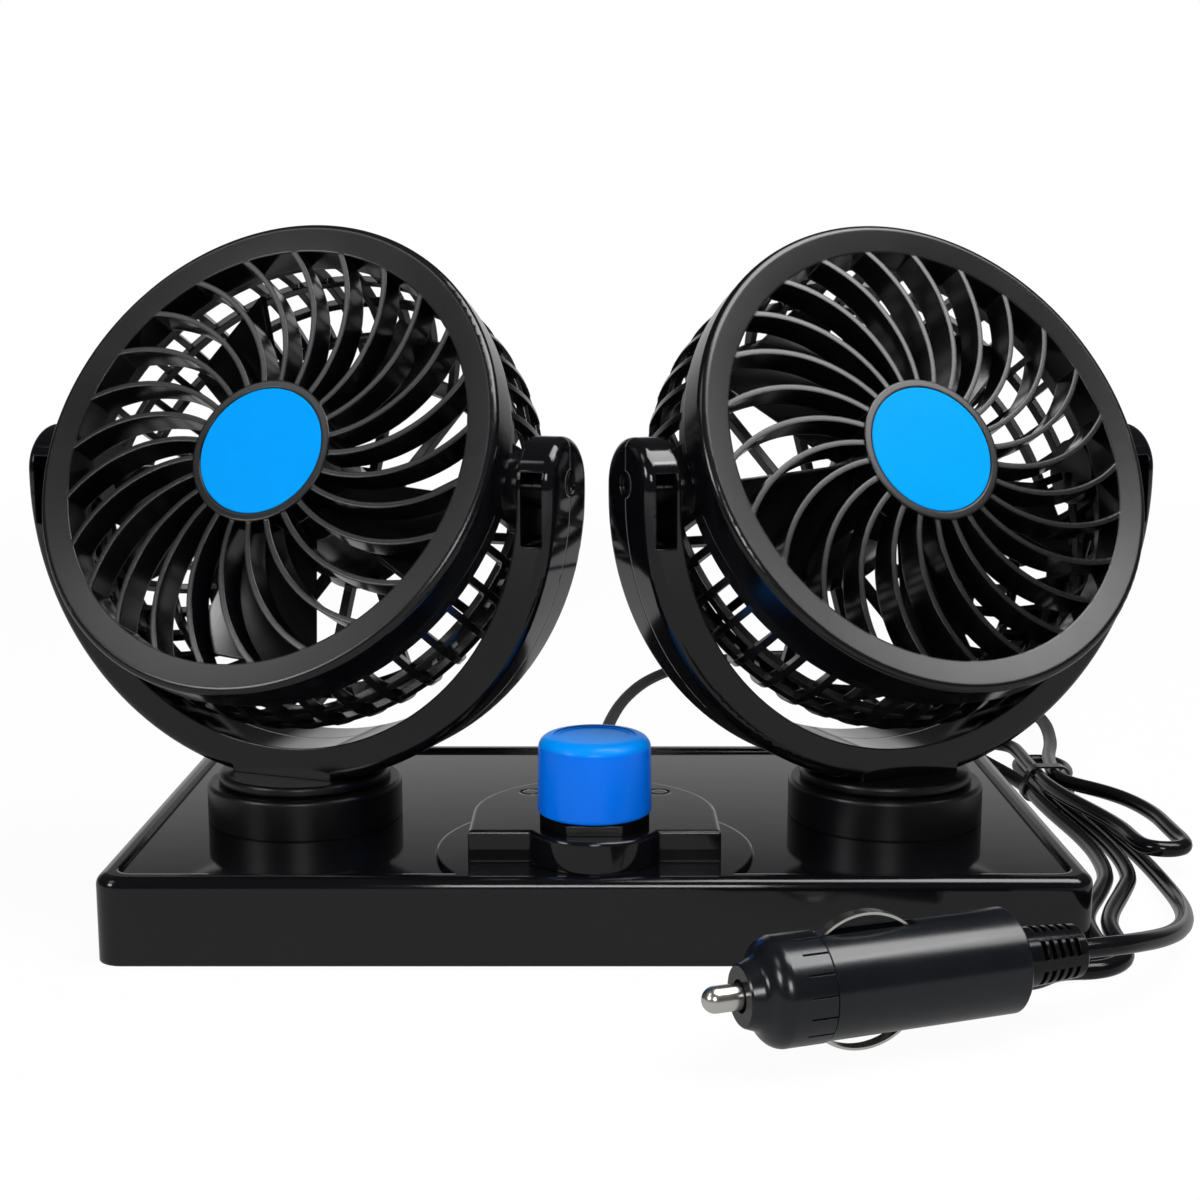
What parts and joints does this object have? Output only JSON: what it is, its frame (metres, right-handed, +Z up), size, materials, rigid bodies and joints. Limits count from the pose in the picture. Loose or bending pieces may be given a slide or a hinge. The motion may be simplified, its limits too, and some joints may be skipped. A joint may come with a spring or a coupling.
{
  "type": "dual head car fan",
  "caption": "Car dashboard fan: grilled heads that tilt and swivel in yokes on a flat adhesive base, with a speed knob and a corded plug for a car power socket.",
  "frame": {"origin": "middle of the base's underside, on the surface it stands on", "axes": "+X to the right seen from the front, along the base's length; the heads face -Y; +Z up"},
  "size_m": [0.2881, 0.3959, 0.1586],
  "materials": {
    "gloss_black": "gloss",
    "satin_black": "satin",
    "steel": "satin",
    "foam": "matt",
    "knob_blue": "satin",
    "ceramic": "matt",
    "cord_black": "satin",
    "chrome": "polished",
    "fuse_glass": "clear",
    "badge_blue": "satin"
  },
  "bodies": {
    "base": {"base_shell": "gloss_black", "bottom_plate": "satin_black", "base_screws": "steel", "adhesive_pads": "foam", "switch_housing": "gloss_black", "rotary_switch": "satin_black", "switch_nut": "steel", "speed_resistor": "ceramic", "base_wiring": "cord_black", "cord_gland": "cord_black", "left_swivel_collar": "gloss_black", "right_swivel_collar": "gloss_black", "cord_back": "cord_black", "cord_hank": "cord_black", "cord_tail": "cord_black", "cord_tie": "satin_black", "plug_body": "gloss_black", "plug_nose": "gloss_black", "plug_fuse": "fuse_glass", "plug_tip_spring": "chrome", "plug_strain_relief": "cord_black"},
    "knob": {"speed_knob": "knob_blue", "switch_shaft": "steel"},
    "plug_tip": {"plug_tip": "chrome"},
    "plug_contact_upper": {"plug_contact_upper": "chrome"},
    "plug_contact_lower": {"plug_contact_lower": "chrome"},
    "left_yoke": {"left_swivel_disc": "satin_black", "left_swivel_nut": "satin_black", "left_yoke_front": "gloss_black", "left_yoke_rear": "gloss_black", "left_yoke_screws": "steel"},
    "left_head": {"left_front_guard": "gloss_black", "left_hub_badge": "badge_blue", "left_rear_guard": "gloss_black", "left_tilt_axles": "satin_black", "left_tilt_washers": "satin_black", "left_motor": "steel", "left_motor_screws": "steel", "left_motor_lead": "cord_black"},
    "left_fan": {"left_motor_shaft": "steel", "left_impeller": "satin_black"},
    "right_yoke": {"right_swivel_disc": "satin_black", "right_swivel_nut": "satin_black", "right_yoke_front": "gloss_black", "right_yoke_rear": "gloss_black", "right_yoke_screws": "steel"},
    "right_head": {"right_front_guard": "gloss_black", "right_hub_badge": "badge_blue", "right_rear_guard": "gloss_black", "right_tilt_axles": "satin_black", "right_tilt_washers": "satin_black", "right_motor": "steel", "right_motor_screws": "steel", "right_motor_lead": "cord_black"},
    "right_fan": {"right_motor_shaft": "steel", "right_impeller": "satin_black"}
  },
  "joints": [
    {"name": "knob_turn", "type": "hinge", "parent": "base", "child": "knob", "pos_m": [0, -0.04105, 0.03], "axis": [0, 0, 1], "range_deg": [-35, 35]},
    {"name": "plug_tip_press", "type": "slide", "parent": "base", "child": "plug_tip", "axis": [0.9438, 0.3305, 0], "range_m": [0, 0.0025], "stiffness_N_per_m": 800, "springref_m": -0.002, "deforming": ["plug_tip_spring"]},
    {"name": "plug_contact_upper_press", "type": "slide", "parent": "base", "child": "plug_contact_upper", "axis": [0, 0, -1], "range_m": [0, 0.0008], "stiffness_N_per_m": 1500, "springref_m": -0.001},
    {"name": "plug_contact_lower_press", "type": "slide", "parent": "base", "child": "plug_contact_lower", "axis": [0, 0, 1], "range_m": [0, 0.0008], "stiffness_N_per_m": 1500, "springref_m": -0.001},
    {"name": "left_swivel", "type": "hinge", "parent": "base", "child": "left_yoke", "pos_m": [-0.07, -0.006, 0.03], "axis": [0, 0, 1], "range_deg": [-150, 150]},
    {"name": "left_tilt", "type": "hinge", "parent": "left_yoke", "child": "left_head", "pos_m": [-0.07, -0.006, 0.0995], "axis": [-0.9367, 0.3502, 0], "range_deg": [-72, 63]},
    {"name": "left_spin", "type": "hinge", "parent": "left_head", "child": "left_fan", "pos_m": [-0.07, -0.006, 0.0995], "axis": [-0.312, -0.8346, 0.454], "continuous": true},
    {"name": "right_swivel", "type": "hinge", "parent": "base", "child": "right_yoke", "pos_m": [0.07, -0.006, 0.03], "axis": [0, 0, 1], "range_deg": [-150, 150]},
    {"name": "right_tilt", "type": "hinge", "parent": "right_yoke", "child": "right_head", "pos_m": [0.07, -0.006, 0.0995], "axis": [-0.9171, -0.3987, 0], "range_deg": [-73, 62]},
    {"name": "right_spin", "type": "hinge", "parent": "right_head", "child": "right_fan", "pos_m": [0.07, -0.006, 0.0995], "axis": [0.3521, -0.8097, 0.4695], "continuous": true}
  ]
}
